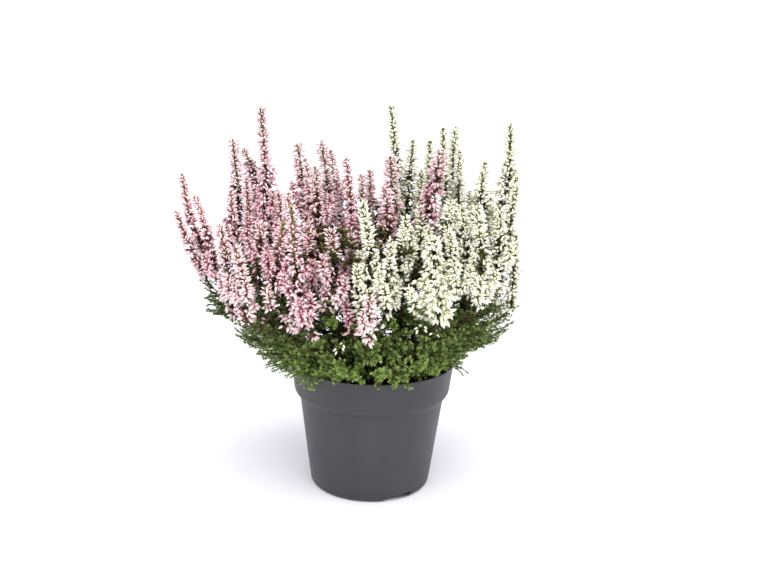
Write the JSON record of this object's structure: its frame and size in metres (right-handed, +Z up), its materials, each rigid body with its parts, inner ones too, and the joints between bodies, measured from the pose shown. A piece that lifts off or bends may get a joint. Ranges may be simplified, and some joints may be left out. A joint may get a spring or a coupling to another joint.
{
  "type": "potted heather",
  "caption": "Pink and white bud-blooming heathers growing together in a tapered dark plastic nursery pot that stands on a flat surface.",
  "frame": {"origin": "middle of the pot's underside, on the surface it stands on", "axes": "+Z up along the pot's axis; -Y is the front, the side with the low foliage over the rim; +X is to the right, where the white heather grows"},
  "size_m": [0.2615, 0.191, 0.2992],
  "materials": {
    "pot_plastic": "fine matte, injection moulded",
    "peat": "crumbly damp peat",
    "bark": "rough thin bark",
    "pink_buds": "soft waxy petals",
    "white_buds": "soft waxy petals",
    "heather_leaves": "waxy scale leaves"
  },
  "bodies": {
    "root": {"nursery_pot": "pot_plastic", "growing_medium": "peat", "pink_woody_base": "bark", "white_woody_base": "bark", "pink_flower_stem_01": "pink_buds", "pink_flower_stem_02": "pink_buds", "pink_flower_stem_03": "pink_buds", "pink_flower_stem_04": "pink_buds", "pink_flower_stem_05": "pink_buds", "pink_flower_stem_06": "pink_buds", "pink_flower_stem_07": "pink_buds", "pink_flower_stem_08": "pink_buds", "pink_flower_stem_09": "pink_buds", "pink_flower_stem_10": "pink_buds", "pink_flower_stem_11": "pink_buds", "pink_flower_stem_12": "pink_buds", "pink_flower_stem_13": "pink_buds", "pink_flower_stem_14": "pink_buds", "pink_flower_stem_15": "pink_buds", "pink_flower_stem_16": "pink_buds", "pink_flower_stem_17": "pink_buds", "pink_flower_stem_18": "pink_buds", "pink_flower_stem_19": "pink_buds", "pink_flower_stem_20": "pink_buds", "pink_flower_stem_21": "pink_buds", "pink_flower_stem_22": "pink_buds", "pink_flower_stem_23": "pink_buds", "pink_flower_stem_24": "pink_buds", "pink_flower_stem_25": "pink_buds", "white_flower_stem_01": "white_buds", "white_flower_stem_02": "white_buds", "white_flower_stem_03": "white_buds", "white_flower_stem_04": "white_buds", "white_flower_stem_05": "white_buds", "white_flower_stem_06": "white_buds", "white_flower_stem_07": "white_buds", "white_flower_stem_08": "white_buds", "white_flower_stem_09": "white_buds", "white_flower_stem_10": "white_buds", "white_flower_stem_11": "white_buds", "white_flower_stem_12": "white_buds", "white_flower_stem_13": "white_buds", "white_flower_stem_14": "white_buds", "white_flower_stem_15": "white_buds", "white_flower_stem_16": "white_buds", "white_flower_stem_17": "white_buds", "white_flower_stem_18": "white_buds", "white_flower_stem_19": "white_buds", "green_shoot_01": "heather_leaves", "green_shoot_02": "heather_leaves", "green_shoot_03": "heather_leaves", "green_shoot_04": "heather_leaves", "green_shoot_05": "heather_leaves", "green_shoot_06": "heather_leaves", "green_shoot_07": "heather_leaves", "green_shoot_08": "heather_leaves", "green_shoot_09": "heather_leaves", "green_shoot_10": "heather_leaves", "green_shoot_11": "heather_leaves", "green_shoot_12": "heather_leaves"}
  },
  "joints": []
}
